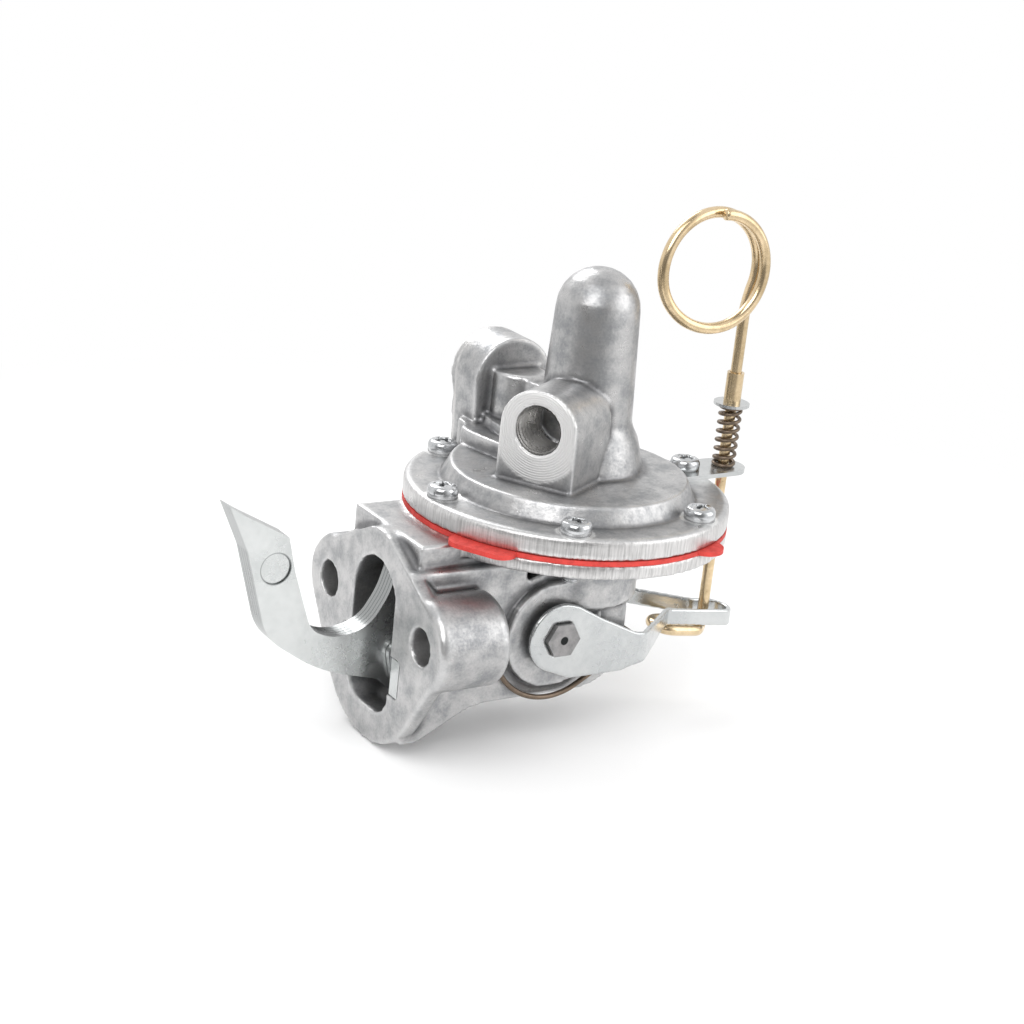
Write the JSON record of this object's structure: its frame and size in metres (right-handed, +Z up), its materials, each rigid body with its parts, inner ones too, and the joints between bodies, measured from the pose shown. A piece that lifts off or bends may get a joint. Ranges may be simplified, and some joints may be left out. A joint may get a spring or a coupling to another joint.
{
  "type": "mechanical fuel feed pump",
  "caption": "Mechanical diaphragm fuel feed pump with rocker arm, two-bolt mounting flange, screwed cover with dome and two threaded ports, and hand primer lever with pull rod and finger ring.",
  "frame": {"origin": "midway between the two bolt holes, on the mounting face", "axes": "+X into the pump, away from the engine; +Y across the flange, from one bolt hole to the other; +Z up, along the axis of the diaphragm and dome"},
  "size_m": [0.1561, 0.0858, 0.1359],
  "materials": {
    "cast": "as-cast satin, machined faces brighter",
    "zinc": "bright zinc plated, slightly blue",
    "bright_steel": "ground, lightly oiled",
    "yellow_zinc": "yellow passivated zinc",
    "spring_steel": "dark bronze oil-tempered wire",
    "red_rubber": "red-brown rubbered cloth",
    "black_rubber": "matt black",
    "brass": "plain brass",
    "valve_plastic": "matt fibre"
  },
  "bodies": {
    "housing": {"lower_body": "cast", "upper_cover": "cast", "diaphragm": "red_rubber", "stem_seal": "black_rubber", "seal_retainer": "zinc", "diaphragm_spring": "spring_steel", "rocker_pin": "bright_steel", "pin_retainers": "zinc", "rocker_return_spring": "spring_steel", "cover_screws": "zinc", "rod_bracket": "zinc", "rod_spring": "spring_steel", "rod_washer": "zinc", "inlet_valve_plate": "brass", "inlet_valve_pin": "brass", "inlet_valve_spring": "spring_steel", "outlet_valve_plate": "brass", "outlet_valve_pin": "brass", "outlet_valve_spring": "spring_steel", "dome_plug": "cast"},
    "rocker": {"rocker_plate_1": "zinc", "rocker_plate_2": "zinc", "rocker_plate_3": "zinc", "rocker_plate_4": "zinc", "rocker_plate_5": "zinc", "rocker_bush": "bright_steel"},
    "link": {"link_lever": "zinc"},
    "diaphragm_group": {"diaphragm_lower_plate": "zinc", "diaphragm_upper_plate": "zinc", "diaphragm_stem": "bright_steel"},
    "primer": {"primer_shaft": "bright_steel", "shaft_seals": "black_rubber", "primer_lever": "zinc", "primer_return_spring": "spring_steel"},
    "rod": {"pull_rod": "yellow_zinc", "rod_crimp": "yellow_zinc"},
    "inlet_flap": {"inlet_valve_disc": "valve_plastic"},
    "outlet_flap": {"outlet_valve_disc": "valve_plastic"}
  },
  "joints": [
    {"name": "rocker_swing", "type": "hinge", "parent": "housing", "child": "rocker", "pos_m": [0.009, 0, -0.013], "axis": [0, 1, 0], "range_deg": [0, 6], "stiffness_Nm_per_rad": 1, "springref_deg": -2.86, "deforming": ["rocker_return_spring"]},
    {"name": "link_swing", "type": "hinge", "parent": "housing", "child": "link", "pos_m": [0.009, 0, -0.013], "axis": [0, 1, 0], "range_deg": [0, 6]},
    {"name": "diaphragm_stroke", "type": "slide", "parent": "housing", "child": "diaphragm_group", "axis": [0, 0, -1], "range_m": [0, 0.0048], "deforming": ["diaphragm", "diaphragm_spring"]},
    {"name": "primer_swing", "type": "hinge", "parent": "housing", "child": "primer", "pos_m": [0.0425, 0, -0.0038], "axis": [0, -1, 0], "range_deg": [0, 12], "stiffness_Nm_per_rad": 0.3, "springref_deg": -5.73},
    {"name": "rod_pull", "type": "slide", "parent": "housing", "child": "rod", "axis": [0, 0, 1], "range_m": [0, 0.0098]},
    {"name": "inlet_lift", "type": "slide", "parent": "housing", "child": "inlet_flap", "axis": [0, 0, -1], "range_m": [0, 0.0012], "stiffness_N_per_m": 40, "springref_m": -0.0005, "deforming": ["inlet_valve_spring"]},
    {"name": "outlet_lift", "type": "slide", "parent": "housing", "child": "outlet_flap", "axis": [0, 0, 1], "range_m": [0, 0.0012], "stiffness_N_per_m": 40, "springref_m": -0.0005, "deforming": ["outlet_valve_spring"]}
  ],
  "couplings": [
    {"joint": "link_swing", "follows": "rocker_swing", "ratio": 1},
    {"joint": "diaphragm_stroke", "follows": "rocker_swing", "m_per_rad": 0.0455},
    {"joint": "rod_pull", "follows": "primer_swing", "m_per_rad": 0.0462}
  ]
}
